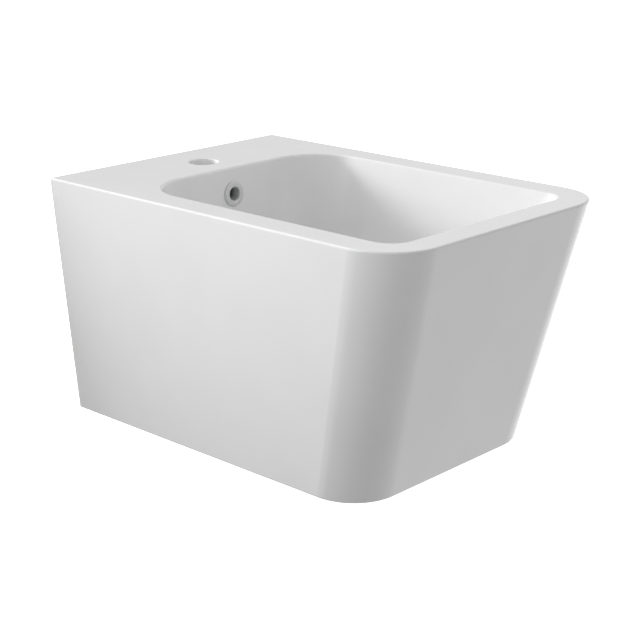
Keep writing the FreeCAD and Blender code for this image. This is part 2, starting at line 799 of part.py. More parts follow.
def on_spring(turn):
    angle = 2 * math.pi * turn
    return Vector(coil * math.cos(angle), spring_axis + coil * math.sin(angle), spring_low + rise * turn)


def along_spring(turn):
    angle = 2 * math.pi * turn
    level_part = math.cos(slope)
    return Vector(-math.sin(angle) * level_part, math.cos(angle) * level_part, math.sin(slope))


def bend_ring(ring, start, way, finish):
    """Sweeps the wire's ring along the arc that leaves start along way and ends at finish."""
    chord = finish - start
    axis = way.cross(chord)
    axis.normalize()
    turn = 2 * way.getAngle(chord)
    radius = chord.Length / 2 / math.sin(turn / 2)
    centre = start + axis.cross(way) * radius
    skin = ring.revolve(centre, axis, math.degrees(turn))
    last_ring = ring.copy()
    last_ring.rotate(centre, axis, math.degrees(turn))
    return skin, last_ring


ring = Part.Circle(on_spring(0), along_spring(0), wire).toShape()
spring_faces = [Part.Face(Part.Wire(ring))]
quarters = int(round(4 * turns))
for quarter in range(quarters):
    start = on_spring(turns * quarter / quarters)
    finish = on_spring(turns * (quarter + 1) / quarters)
    start_way = along_spring(turns * quarter / quarters)
    finish_way = along_spring(turns * (quarter + 1) / quarters)
    span = finish - start
    both = start_way + finish_way
    bend = 2 * (1 - start_way.dot(finish_way))
    reach = (-span.dot(both) + math.sqrt(span.dot(both) ** 2 + bend * span.dot(span))) / bend
    leaving = start + start_way * reach
    arriving = finish - finish_way * reach
    joint = (leaving + arriving) * 0.5
    joint_way = arriving - leaving
    joint_way.normalize()
    skin, ring = bend_ring(ring, start, start_way, joint)
    spring_faces.append(skin)
    skin, ring = bend_ring(ring, joint, joint_way, finish)
    spring_faces.append(skin)
spring_faces.append(Part.Face(Part.Wire(ring)))
spring_skin = Part.makeShell(spring_faces)
spring_skin.sewShape()
plug_spring = doc.addObject("Part::Feature", "plug_spring")
plug_spring.Label = "plug_spring"
plug_spring.Shape = Part.makeSolid(spring_skin)
plug_spring.Placement = Placement()
print("plug_spring: gap between turns", round(rise - 2 * wire, 3), "mm")

# Bottle trap, hung from the waste's tail. Distances run down from the top of the trap's flange.
dip_radius = "pipe_diameter / 2"
dip_bore = "(pipe_diameter / 2 - pipe_wall)"
neck_radius = "(pipe_diameter / 2 + pipe_wall)"
trap_radius = "trap_diameter / 2"
CUP_TOP = "(-outlet_drop - branch_diameter / 2 - nut_wall - rib_height - cup_gap)"
SKIRT = f"({CUP_TOP} - cup_thread)"
DIP = f"(-outlet_drop - {dip_bore} - seal_depth)"
SHOULDER = "(-trap_flange - trap_neck)"
trap = new_body("trap_body")
trap_profile = outline(
    trap, "trap_profile", "XZ_Plane",
    [
        (dip_bore, "0"),
        ("barrel_diameter / 2 - slip_clearance", "0"),
        ("barrel_diameter / 2 - slip_clearance", "-trap_flange"),
        (neck_radius, "-trap_flange"),
        (neck_radius, SHOULDER),
        (f"{trap_radius} - trap_dome / 2", f"{SHOULDER} - trap_dome / 2"),
        (trap_radius, f"{SHOULDER} - trap_dome"),
        (trap_radius, SKIRT),
        (f"{trap_radius} - trap_wall", SKIRT),
        (f"{trap_radius} - trap_wall", f"{SHOULDER} - trap_dome"),
        (dip_radius, f"{SHOULDER} - trap_wall"),
        (dip_radius, DIP),
        (dip_bore, DIP),
    ],
)
revolve(trap, "trap_turned", trap_profile)
branch_start = f"({trap_radius} - trap_wall - nut_wall)"
branch_outline = circle(
    trap, "branch_outline", "XZ_Plane", "0", "-outlet_drop", "branch_diameter / 2", f"-{branch_start}")
extrude(trap, "branch", branch_outline, f"branch_reach - {branch_start}", against=True)
socket_outline = circle(
    trap, "socket_outline", "XZ_Plane", "0", "-outlet_drop", "pipe_diameter / 2 + slip_clearance",
    "-branch_reach")
extrude(trap, "socket", socket_outline, "branch_socket", "PartDesign::Pocket", against=True)
bore_outline = circle(
    trap, "bore_outline", "XZ_Plane", "0", "-outlet_drop", dip_bore, "-branch_reach")
extrude(
    trap, "branch_bore", bore_outline, f"branch_reach - {dip_radius} - nut_wall", "PartDesign::Pocket",
    against=True)
place(trap, "0", DRAIN, TRAP)

trap_inlet_washer = turned_piece(
    "trap_inlet_washer",
    [
        (dip_bore, "0"),
        ("barrel_diameter / 2 - slip_clearance", "0"),
        ("barrel_diameter / 2 - slip_clearance", "inlet_washer"),
        (dip_bore, "inlet_washer"),
    ],
    y=DRAIN, z=TRAP,
)
inlet_nut = turned_piece(
    "trap_inlet_nut",
    [
        (f"{neck_radius} + slip_clearance", "-trap_flange - nut_lip"),
        (f"{waste_bore} + nut_wall", "-trap_flange - nut_lip"),
        (f"{waste_bore} + nut_wall", "inlet_nut_height - trap_flange - nut_lip"),
        (waste_bore, "inlet_nut_height - trap_flange - nut_lip"),
        (waste_bore, "-trap_flange"),
        (f"{neck_radius} + slip_clearance", "-trap_flange"),
    ],
    y=DRAIN, z=TRAP,
)
ribs(
    inlet_nut, f"{waste_bore} + nut_wall", "-trap_flange - nut_lip",
    "inlet_nut_height - trap_flange - nut_lip - nut_lip", 12)

# The cup screws up over the trap's skirt and squeezes its seal.
cup_bore = f"({trap_radius} + cup_clearance)"
cup_inside = f"({trap_radius} - trap_wall)"
CUP_LEDGE = f"({SKIRT} - cup_seal)"
CUP_FLOOR = f"({DIP} - cup_floor_gap)"
trap_cup = turned_piece(
    "trap_cup",
    [
        ("0", f"{CUP_FLOOR} - cup_wall"),
        (f"{cup_inside} - cup_wall", f"{CUP_FLOOR} - cup_wall"),
        (f"{cup_inside} + cup_wall - 1", f"{CUP_FLOOR} + cup_wall"),
        (f"{cup_inside} + cup_wall", f"{CUP_LEDGE} - cup_wall"),
        (f"{cup_bore} + cup_wall", CUP_LEDGE),
        (f"{cup_bore} + cup_wall", CUP_TOP),
        (cup_bore, CUP_TOP),
        (cup_bore, CUP_LEDGE),
        (cup_inside, CUP_LEDGE),
        (f"{cup_inside} - 1", f"{CUP_FLOOR} + 2 * cup_wall"),
        (f"{cup_inside} - 2 * cup_wall", CUP_FLOOR),
        ("0", CUP_FLOOR),
    ],
    y=DRAIN, z=TRAP,
)
ribs(trap_cup, f"{cup_bore} + cup_wall", CUP_LEDGE, CUP_TOP, 16)
trap_cup_seal = turned_piece(
    "trap_cup_seal",
    [
        (f"{trap_radius} - trap_wall", CUP_LEDGE),
        (trap_radius, CUP_LEDGE),
        (trap_radius, SKIRT),
        (f"{trap_radius} - trap_wall", SKIRT),
    ],
    y=DRAIN, z=TRAP,
)

# Outlet: a slip nut and tapered washer hold the pipe in the branch, and a rosette meets the wall.
# Distances run from the drain's axis towards the wall.
pipe_radius = "pipe_diameter / 2"
pipe_fit = f"({pipe_radius} + slip_clearance)"
NUT_END = "(branch_reach + outlet_washer + nut_lip)"
PIPE_START = "(branch_reach - branch_socket)"
outlet_pipe = turned_piece(
    "outlet_pipe",
    [
        (dip_bore, PIPE_START),
        (pipe_radius, PIPE_START),
        (pipe_radius, "drain_setback"),
        (f"{pipe_radius} - spigot_step", "drain_setback"),
        (f"{pipe_radius} - spigot_step", "drain_setback + spigot_length"),
        (dip_bore, "drain_setback + spigot_length"),
    ],
    y=DRAIN, z=OUTLET, turn=-90,
)
outlet_washer = turned_piece(
    "trap_outlet_washer",
    [
        (f"{pipe_radius} + thread_clearance", "branch_reach"),
        ("branch_diameter / 2 - slip_clearance", "branch_reach"),
        ("branch_diameter / 2 - outlet_washer / 4", "branch_reach + outlet_washer"),
        (f"{pipe_radius} + thread_clearance", "branch_reach + outlet_washer"),
    ],
    y=DRAIN, z=OUTLET, turn=-90,
)
branch_thread = "(branch_diameter / 2 + thread_clearance)"
outlet_nut = turned_piece(
    "trap_outlet_nut",
    [
        (branch_thread, f"{NUT_END} - outlet_nut_height"),
        (f"{branch_thread} + nut_wall", f"{NUT_END} - outlet_nut_height"),
        (f"{branch_thread} + nut_wall", NUT_END),
        (pipe_fit, NUT_END),
        (pipe_fit, "branch_reach + outlet_washer"),
        (branch_thread, "branch_reach + outlet_washer"),
    ],
    y=DRAIN, z=OUTLET, turn=-90,
)
ribs(
    outlet_nut, f"{branch_thread} + nut_wall",
    f"{NUT_END} - outlet_nut_height", f"{NUT_END} - nut_lip", 12)
ROSETTE = "(drain_setback - wall_gap)"
wall_rosette = turned_piece(
    "wall_rosette",
    [
        (pipe_fit, f"{ROSETTE} - rosette_height"),
        (f"{pipe_fit} + rosette_wall", f"{ROSETTE} - rosette_height"),
        (f"{pipe_fit} + 3 * rosette_wall", f"{ROSETTE} - rosette_height / 2"),
        ("rosette_diameter / 2", f"{ROSETTE} - rosette_wall"),
        ("rosette_diameter / 2", ROSETTE),
        ("rosette_diameter / 2 - rosette_wall", ROSETTE),
        (f"{pipe_fit} + 2 * rosette_wall", f"{ROSETTE} - rosette_height / 2 + rosette_wall"),
        (pipe_fit, f"{ROSETTE} - rosette_height + 2 * rosette_wall"),
    ],
    y=DRAIN, z=OUTLET, turn=-90,
)

# Wall fixings, the right-hand set first and then its mirror image. Distances run out from the wall.
STUD_X = "stud_spacing / 2"
SLEEVE_FACE = "(rear_web + sleeve_flange)"
WASHER_FACE = f"({SLEEVE_FACE} + stud_washer)"
NUT_FACE = f"({WASHER_FACE} + nut_height)"
STUD_END = f"({NUT_FACE} + stud_spare)"
stud_radius = "stud_diameter / 2"
stud = turned_piece(
    "wall_stud",
    [
        (stud_radius, "-stud_embed + stud_point"),
        (stud_radius, "0"),
        ("stud_shank / 2", "stud_point"),
        ("stud_shank / 2", f"{SLEEVE_FACE} - stud_point"),
        (stud_radius, SLEEVE_FACE),
        (stud_radius, f"{STUD_END} - stud_point"),
        (f"{stud_radius} - stud_point", STUD_END),
        ("0", STUD_END),
        ("0", "-stud_embed"),
        (f"{stud_radius} - stud_point", "-stud_embed"),
    ],
    x=STUD_X, turn=90,
)
sleeve = turned_piece(
    "stud_sleeve",
    [
        ("sleeve_bore / 2", "wall_gap"),
        ("stud_hole / 2 - sleeve_clearance", "wall_gap"),
        ("stud_hole / 2 - sleeve_clearance", "rear_web"),
        ("sleeve_flange_diameter / 2", "rear_web"),
        ("sleeve_flange_diameter / 2", SLEEVE_FACE),
        ("sleeve_bore / 2", SLEEVE_FACE),
    ],
    x=STUD_X, turn=90,
)
washer = turned_piece(
    "stud_washer",
    [
        ("stud_washer_bore / 2", SLEEVE_FACE),
        ("stud_washer_diameter / 2", SLEEVE_FACE),
        ("stud_washer_diameter / 2", WASHER_FACE),
        ("stud_washer_bore / 2", WASHER_FACE),
    ],
    x=STUD_X, turn=90,
)
nut = hex_nut(
    "stud_nut", "nut_flats", f"{stud_radius} + thread_clearance", "nut_height",
    x=STUD_X, y=f"-{WASHER_FACE}", turn=90)
cover_bore = "(nut_flats / sqrt(3) + cover_clearance)"
cover = turned_piece(
    "nut_cover",
    [
        ("0", f"{STUD_END} + cover_wall"),
        ("0", f"{STUD_END} + 2 * cover_wall"),
        (f"{cover_bore} - 2 * cover_wall", f"{STUD_END} + 2 * cover_wall"),
        (f"{cover_bore} + cover_wall", f"{STUD_END} - cover_wall"),
        (f"{cover_bore} + cover_wall", WASHER_FACE),
        (cover_bore, WASHER_FACE),
        (cover_bore, f"{STUD_END} - cover_wall"),
        (f"{cover_bore} - 2 * cover_wall", f"{STUD_END} + cover_wall"),
    ],
    x=STUD_X, turn=90,
)
wall_studs = pair("wall_studs", stud)
stud_sleeves = pair("stud_sleeves", sleeve)
stud_washers = pair("stud_washers", washer)
stud_nuts = pair("stud_nuts", nut)
nut_covers = pair("nut_covers", cover)

doc.recompute()
pieces = [
    ceramic, overflow_ring, waste, waste_gasket, cone_washer, friction_washer, backnut, click_housing,
    plug_spring, plug_stem, plug_cap, plug_seal, trap_inlet_washer, inlet_nut, trap, trap_cup_seal, trap_cup,
    outlet_washer, outlet_nut, outlet_pipe, wall_rosette, wall_studs, stud_sleeves, stud_washers, stud_nuts,
    nut_covers,
]
for thing in doc.Objects:
    if "Invalid" in thing.State or "Error" in thing.State:
        raise RuntimeError(f"{thing.Label} did not recompute: {thing.State}")
os.makedirs("parts", exist_ok=True)
for piece in pieces:
    if piece.Shape.isNull() or not piece.Shape.isValid():
        raise RuntimeError(f"{piece.Label} has no valid shape")
    piece.Shape.exportStep(f"parts/{piece.Label}.step")
    print(piece.Label, len(piece.Shape.Solids), round(piece.Shape.Volume / 1000, 2), "cm3")
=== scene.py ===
import math

import bmesh
import bpy
from mathutils import Matrix, Vector


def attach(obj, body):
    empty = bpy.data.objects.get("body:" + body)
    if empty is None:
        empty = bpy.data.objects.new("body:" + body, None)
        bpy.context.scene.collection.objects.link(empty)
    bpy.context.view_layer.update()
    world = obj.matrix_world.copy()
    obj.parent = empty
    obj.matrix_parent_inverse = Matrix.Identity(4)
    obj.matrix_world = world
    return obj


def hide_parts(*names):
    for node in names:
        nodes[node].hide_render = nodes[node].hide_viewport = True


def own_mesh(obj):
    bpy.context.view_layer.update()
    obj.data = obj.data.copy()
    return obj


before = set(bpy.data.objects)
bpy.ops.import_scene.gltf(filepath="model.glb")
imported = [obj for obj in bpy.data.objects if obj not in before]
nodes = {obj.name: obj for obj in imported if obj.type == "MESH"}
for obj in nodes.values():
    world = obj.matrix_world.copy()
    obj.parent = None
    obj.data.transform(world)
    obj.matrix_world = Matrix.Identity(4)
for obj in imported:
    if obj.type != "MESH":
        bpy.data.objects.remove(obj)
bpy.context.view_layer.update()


# Ceramic body: one slip-cast piece of sanitary ware, fired with a glossy white glaze. The glaze is wiped
# off where the piece stands in the kiln, so the wall face and the foot ring show bare, matt clay.
GLAZE = (0.757, 0.757, 0.757, 1)
GLAZE_SHADE = (0.743, 0.743, 0.743, 1)
GLAZE_ROUGHNESS = 0.18
GLAZE_INDEX = 1.52
GLAZE_SPECULAR = 0.36
BARE_CLAY = (0.70, 0.66, 0.59, 1)
CLAY_SPECK = (0.55, 0.50, 0.43, 1)
CLAY_ROUGHNESS = 0.85
WALL_LAND = -0.0008
WALL_FADE = 0.0004
FOOT_LAND = -0.2052
FOOT_FADE = 0.0008


def new_finish(name):
    """A bare material, its tree and shader, and the output that gives a point's place on its own object."""
    material = bpy.data.materials.new(name)
    material.use_nodes = True
    tree = material.node_tree
    shader = tree.nodes["Principled BSDF"]
    place = tree.nodes.new("ShaderNodeTexCoord").outputs["Object"]
    return material, tree, shader, place


def grain(tree, place, waves, detail=2, stretch=(1, 1, 1)):
    """Noise of so many waves to the metre, stretched along the piece's own axes."""
    mapping = tree.nodes.new("ShaderNodeMapping")
    mapping.inputs["Scale"].default_value = stretch
    tree.links.new(place, mapping.inputs["Vector"])
    noise = tree.nodes.new("ShaderNodeTexNoise")
    noise.inputs["Scale"].default_value = waves
    noise.inputs["Detail"].default_value = detail
    tree.links.new(mapping.outputs["Vector"], noise.inputs["Vector"])
    return noise.outputs["Fac"]


def spread(tree, value, low, high, new_low=0, new_high=1):
    """Map one range of values to another."""
    node = tree.nodes.new("ShaderNodeMapRange")
    limits = {"From Min": low, "From Max": high, "To Min": new_low, "To Max": new_high}
    for socket, number in limits.items():
        node.inputs[socket].default_value = number
    tree.links.new(value, node.inputs["Value"])
    return node.outputs["Result"]


def reckon(tree, kind, first, second):
    """One sum on two values of the tree."""
    node = tree.nodes.new("ShaderNodeMath")
    node.operation = kind
    tree.links.new(first, node.inputs[0])
    tree.links.new(second, node.inputs[1])
    return node.outputs["Value"]


def blend_colours(tree, share, first, second):
    """One colour turning into another as the share goes from 0 to 1."""
    node = tree.nodes.new("ShaderNodeMix")
    node.data_type = "RGBA"
    for socket, colour in (("A", first), ("B", second)):
        target = next(s for s in node.inputs if s.name == socket and s.type == "RGBA")
        if isinstance(colour, tuple):
            target.default_value = colour
        else:
            tree.links.new(colour, target)
    tree.links.new(share, node.inputs["Factor"])
    return next(s for s in node.outputs if s.type == "RGBA")


def relief(tree, height, depth, over=None):
    """Bump of a real depth in metres, over another bump where one is given."""
    node = tree.nodes.new("ShaderNodeBump")
    node.inputs["Distance"].default_value = depth
    tree.links.new(height, node.inputs["Height"])
    if over is not None:
        tree.links.new(over, node.inputs["Normal"])
    return node.outputs["Normal"]


def coat(node, finish):
    """Give a carried-over solid its finish."""
    nodes[node].data.materials.clear()
    nodes[node].data.materials.append(finish)


glaze, tree, shader, place = new_finish("white_glaze")
axes = tree.nodes.new("ShaderNodeSeparateXYZ")
tree.links.new(place, axes.inputs["Vector"])
at_wall = spread(tree, axes.outputs["Y"], WALL_LAND - WALL_FADE, WALL_LAND)
at_foot = spread(tree, axes.outputs["Z"], FOOT_LAND + FOOT_FADE, FOOT_LAND)
bare = reckon(tree, "MAXIMUM", at_wall, at_foot)
sand = grain(tree, place, waves=1400, detail=3)
clouding = spread(tree, grain(tree, place, waves=14), 0.35, 0.65)
clay = blend_colours(tree, spread(tree, sand, 0.5, 0.75), BARE_CLAY, CLAY_SPECK)
white = blend_colours(tree, clouding, GLAZE, GLAZE_SHADE)
tree.links.new(blend_colours(tree, bare, white, clay), shader.inputs["Base Color"])
tree.links.new(spread(tree, bare, 0, 1, GLAZE_ROUGHNESS, CLAY_ROUGHNESS), shader.inputs["Roughness"])
ripple = relief(tree, grain(tree, place, waves=9), depth=0.0005)
bare_sand = relief(tree, reckon(tree, "MULTIPLY", sand, bare), depth=0.0003, over=ripple)
tree.links.new(bare_sand, shader.inputs["Normal"])
shader.inputs["IOR"].default_value = GLAZE_INDEX
shader.inputs["Specular IOR Level"].default_value = GLAZE_SPECULAR
coat("ceramic_body", glaze)


# Overflow ring: a turned brass trim ring with a rolled front edge, plated and left with a satin finish. Its
# spigot is pressed into the overflow hole, so its flange lies square on the bowl's sloping rear wall.
SATIN = (0.63, 0.635, 0.64, 1)
SATIN_SHADE = (0.60, 0.605, 0.61, 1)
SATIN_METAL = 0.35
RING_SEAT = Vector((0, -0.1128, 0.049))
REAR_WALL_DRAFT = math.atan(7 / 120)
RING_TILT = math.radians(90) - REAR_WALL_DRAFT
NOISE_LOW = 0.3
NOISE_HIGH = 0.7
TOUCHING = 1e-7
EDGE_SEGMENTS = 4
SHARP_ANGLE = math.radians(32)


def tint(tree, shader, share, first, second):
    """Let the colour go from one tone to another as the share goes from 0 to 1."""
    tree.links.new(blend_colours(tree, share, first, second), shader.inputs["Base Color"])


def dull(tree, shader, noise, least, most):
    """Let the roughness follow a noise between two limits."""
    roughness = spread(tree, noise, NOISE_LOW, NOISE_HIGH, least, most)
    tree.links.new(roughness, shader.inputs["Roughness"])


def turned(corners, steps):
    """Spin a closed outline of corners, each a radius, a height and a rounding, about the upright axis."""
    mesh = bmesh.new()
    verts = [mesh.verts.new((radius, 0, height)) for radius, height, rounding in corners]
    mesh.faces.new(verts)
    for size in sorted({rounding for radius, height, rounding in corners if rounding}):
        picked = [vert for vert, corner in zip(verts, corners) if corner[2] == size]
        bmesh.ops.bevel(
            mesh, geom=picked, offset=size, offset_type="OFFSET", segments=EDGE_SEGMENTS, profile=0.5,
            material=-1, affect="VERTICES", clamp_overlap=True)
    bmesh.ops.delete(mesh, geom=mesh.faces[:], context="FACES_ONLY")
    on_axis = [edge for edge in mesh.edges if all(abs(vert.co.x) < TOUCHING for vert in edge.verts)]
    bmesh.ops.delete(mesh, geom=on_axis, context="EDGES")
    bmesh.ops.spin(
        mesh, geom=mesh.verts[:] + mesh.edges[:], cent=(0, 0, 0), axis=(0, 0, 1), dvec=(0, 0, 0),
        angle=2 * math.pi, steps=steps, use_merge=True, use_duplicate=False)
    bmesh.ops.remove_doubles(mesh, verts=mesh.verts, dist=TOUCHING)
    bmesh.ops.recalc_face_normals(mesh, faces=mesh.faces)
    return mesh


def finished(mesh, name, finish, body, node):
    """Turn the mesh into a piece that rides on its body and stands for a node."""
    data = bpy.data.meshes.new(name)
    mesh.to_mesh(data)
    mesh.free()
    data.materials.append(finish)
    data.shade_smooth()
    data.set_sharp_from_angle(angle=SHARP_ANGLE)
    piece = bpy.data.objects.new(name, data)
    bpy.context.scene.collection.objects.link(piece)
    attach(piece, body)
    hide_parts(node)
    return piece


satin, tree, shader, place = new_finish("satin_chrome")
shader.inputs["Metallic"].default_value = SATIN_METAL
haze = grain(tree, place, waves=60)
tint(tree, shader, haze, SATIN, SATIN_SHADE)
dull(tree, shader, haze, 0.40, 0.48)
ring = turned([
    (0.0080, -0.0090, 0),
    (0.0102, -0.0090, 0.0003),
    (0.0102, 0.0000, 0),
    (0.0150, 0.0000, 0.0002),
    (0.0150, 0.0015, 0.0009),
    (0.0124, 0.0026, 0.0010),
    (0.0090, 0.0026, 0.0008),
    (0.0080, 0.0018, 0.0006),
], steps=96)
bmesh.ops.transform(
    ring, verts=ring.verts,
    matrix=Matrix.Translation(RING_SEAT) @ Matrix.Rotation(RING_TILT, 4, "X"))
finished(ring, "overflow_trim", satin, "body", "overflow_ring")


# Waste: a brass fitting with overflow slots and a bridge, polished and chrome plated, set in the drain on a
# soft gasket. Its barrel keeps the shape of the solid, slots and bridge included.
CHROME = (0.80, 0.81, 0.82, 1)
CHROME_HAZE = (0.76, 0.77, 0.79, 1)

chrome, tree, shader, place = new_finish("chrome_plate")
shader.inputs["Metallic"].default_value = 1
haze = grain(tree, place, waves=60)
tint(tree, shader, haze, CHROME, CHROME_HAZE)
dull(tree, shader, haze, 0.04, 0.09)
coat("waste_body", chrome)


# Waste seals: a flange gasket above the floor, and a cone washer and a slip washer below the boss. The
# first two are moulded rubber, the slip washer is plastic so that the nut turns without dragging it.
DRAIN = Vector((0, -0.285, 0))
RUBBER = (0.030, 0.030, 0.032, 1)
RUBBER_BLOOM = (0.060, 0.060, 0.062, 1)
PLASTIC = (0.84, 0.84, 0.82, 1)
PLASTIC_SHADE = (0.79, 0.79, 0.765, 1)


def dimple(tree, shader, noise, depth):
    """Let a noise raise the surface by a real depth in metres."""
    tree.links.new(relief(tree, noise, depth), shader.inputs["Normal"])


def at_drain(mesh):
    """Stand a turned piece on the drain's axis."""
    bmesh.ops.translate(mesh, verts=mesh.verts, vec=DRAIN)
    return mesh


rubber, tree, shader, place = new_finish("black_rubber")
bloom = grain(tree, place, waves=240, detail=4)
tint(tree, shader, spread(tree, bloom, 0.45, 0.8), RUBBER, RUBBER_BLOOM)
dull(tree, shader, bloom, 0.55, 0.75)
dimple(tree, shader, grain(tree, place, waves=2600), depth=0.00008)

plastic, tree, shader, place = new_finish("white_moulded_plastic")
flow = grain(tree, place, waves=30, stretch=(1, 1, 0.35))
tint(tree, shader, spread(tree, flow, 0.35, 0.7), PLASTIC, PLASTIC_SHADE)
dull(tree, shader, grain(tree, place, waves=700), 0.30, 0.42)
dimple(tree, shader, grain(tree, place, waves=1800), depth=0.00005)

gasket = turned([
    (0.0230, -0.0480, 0.0004),
    (0.0320, -0.0480, 0.0006),
    (0.0320, -0.0465, 0.0006),
    (0.0230, -0.0465, 0.0004),
], steps=96)
finished(at_drain(gasket), "flange_gasket", rubber, "body", "waste_gasket")
cone = turned([
    (0.0211, -0.0770, 0.0004),
    (0.0310, -0.0770, 0.0008),
    (0.0310, -0.0710, 0.0008),
    (0.0229, -0.0710, 0.0003),
    (0.0220, -0.0670, 0.0004),
    (0.0211, -0.0670, 0),
], steps=96)
finished(at_drain(cone), "cone_seal", rubber, "body", "waste_cone_washer")
slip = turned([
    (0.0211, -0.0790, 0.0003),
    (0.0310, -0.0790, 0.0005),
    (0.0310, -0.0770, 0.0005),
    (0.0211, -0.0770, 0.0003),
], steps=96)
finished(at_drain(slip), "slip_washer", plastic, "body", "waste_friction_washer")


# Back nut: a thin hexagon nut machined from bare brass, its corners turned off. It is screwed up the barrel
# and pulls the waste down on its seals.
BRASS = (0.72, 0.56, 0.28, 1)
BRASS_DULL = (0.52, 0.39, 0.19, 1)
CHAMFER_REACH = 0.49
CHAMFER_SLOPE = 6 / 11
CUTS_PER_FLAT = 11


def hexagon_nut(flats, bore, low, high, softness):
    """A hexagon nut about the upright axis, with its corners turned off and its bore cut through."""
    mesh = bmesh.new()
    bmesh.ops.create_circle(mesh, cap_ends=True, segments=6, radius=flats / math.sqrt(3))
    bmesh.ops.rotate(
        mesh, verts=mesh.verts, cent=(0, 0, 0), matrix=Matrix.Rotation(math.radians(30), 3, "Z"))
    bmesh.ops.subdivide_edges(mesh, edges=mesh.edges[:], cuts=CUTS_PER_FLAT)
    bmesh.ops.delete(mesh, geom=mesh.faces[:], context="FACES_ONLY")
    rim = mesh.edges[:]
    reach = flats * CHAMFER_REACH

    def drop(radius):
        return max(radius - reach, 0) * CHAMFER_SLOPE

    def ring_from(edges, radius_of, height_of):
        made = bmesh.ops.extrude_edge_only(mesh, edges=edges)["geom"]
        for vert in made:
            if isinstance(vert, bmesh.types.BMVert):
                flat = vert.co.to_2d()
                vert.co = (*(flat.normalized() * radius_of(flat.length)), height_of(flat.length))
        return [edge for edge in made if isinstance(edge, bmesh.types.BMEdge) and edge.is_boundary]

    for vert in mesh.verts:
        vert.co.z = high - drop(vert.co.to_2d().length)
    lower = ring_from(rim, lambda r: r, lambda r: low + drop(r))
    upper_land = ring_from(rim, lambda r: min(r, reach), lambda r: high)
    lower_land = ring_from(lower, lambda r: min(r, reach), lambda r: low)
    upper_bore = ring_from(upper_land, lambda r: bore + softness, lambda r: high)
    lower_bore = ring_from(lower_land, lambda r: bore + softness, lambda r: low)
    upper_wall = ring_from(upper_bore, lambda r: bore, lambda r: high - softness)
    lower_wall = ring_from(lower_bore, lambda r: bore, lambda r: low + softness)
    bmesh.ops.bridge_loops(mesh, edges=upper_wall + lower_wall)
    bmesh.ops.remove_doubles(mesh, verts=mesh.verts, dist=TOUCHING)
    bmesh.ops.recalc_face_normals(mesh, faces=mesh.faces)
    return mesh


def lathe_marks(tree, place, axis_at, along, pitch):
    """Fine rings left by the tool: noise over the distance from the axis and along it."""
    mapping = tree.nodes.new("ShaderNodeMapping")
    mapping.inputs["Location"].default_value = -Vector(axis_at)
    tree.links.new(place, mapping.inputs["Vector"])
    across = tree.nodes.new("ShaderNodeVectorMath")
    across.operation = "MULTIPLY"
    across.inputs[1].default_value = Vector((1, 1, 1)) - Vector(along)
    tree.links.new(mapping.outputs["Vector"], across.inputs[0])
    length = tree.nodes.new("ShaderNodeVectorMath")
    length.operation = "LENGTH"
    tree.links.new(across.outputs["Vector"], length.inputs[0])
    onward = tree.nodes.new("ShaderNodeVectorMath")
    onward.operation = "DOT_PRODUCT"
    onward.inputs[1].default_value = along
    tree.links.new(mapping.outputs["Vector"], onward.inputs[0])
    spot = tree.nodes.new("ShaderNodeCombineXYZ")
    tree.links.new(length.outputs["Value"], spot.inputs["X"])
    tree.links.new(onward.outputs["Value"], spot.inputs["Y"])
    return grain(tree, spot.outputs["Vector"], waves=1 / pitch, detail=1)


brass, tree, shader, place = new_finish("machined_brass")
shader.inputs["Metallic"].default_value = 1
tarnish = grain(tree, place, waves=90, detail=4)
tint(tree, shader, spread(tree, tarnish, 0.4, 0.75), BRASS, BRASS_DULL)
dull(tree, shader, tarnish, 0.22, 0.42)
tool_rings = lathe_marks(tree, place, DRAIN, along=(0, 0, 1), pitch=0.0004)
dimple(tree, shader, tool_rings, depth=0.00006)
backnut = hexagon_nut(flats=0.056, bore=0.0211, low=-0.088, high=-0.079, softness=0.0006)
finished(at_drain(backnut), "back_nut", brass, "body", "waste_backnut")


# Click unit: a moulded grey housing screwed into the bridge of the waste, with a wire spring in its bore and
# a turned brass stem that rides in it. The plug's cap screws on the stem.
GREY = (0.50, 0.52, 0.53, 1)
GREY_SHADE = (0.43, 0.45, 0.46, 1)
WIRE = (0.62, 0.62, 0.63, 1)
WIRE_SHADE = (0.50, 0.50, 0.52, 1)
WIRE_RADIUS = 0.0004
WIRE_SIDES = 10
COIL_RADIUS = 0.0025
COIL_TURNS = 4
COIL_FOOT = -0.0755
COIL_HEAD = -0.0605
STEPS_PER_TURN = 28

grey, tree, shader, place = new_finish("grey_moulded_plastic")
flow = grain(tree, place, waves=60, detail=3)
tint(tree, shader, spread(tree, flow, 0.35, 0.7), GREY, GREY_SHADE)
dull(tree, shader, grain(tree, place, waves=900), 0.45, 0.6)
dimple(tree, shader, grain(tree, place, waves=2200), depth=0.00006)
housing = turned([
    (0.0000, -0.0775, 0),
    (0.0049, -0.0775, 0.0008),
    (0.0049, -0.0685, 0),
    (0.0075, -0.0685, 0.0004),
    (0.0075, -0.0560, 0),
    (0.0069, -0.0555, 0),
    (0.0069, -0.0545, 0),
    (0.0075, -0.0540, 0),
    (0.0075, -0.0485, 0.0010),
    (0.00356, -0.0485, 0.0005),
    (0.00356, -0.0755, 0),
    (0.0000, -0.0755, 0),
], steps=48)
finished(at_drain(housing), "click_barrel", grey, "body", "click_housing")

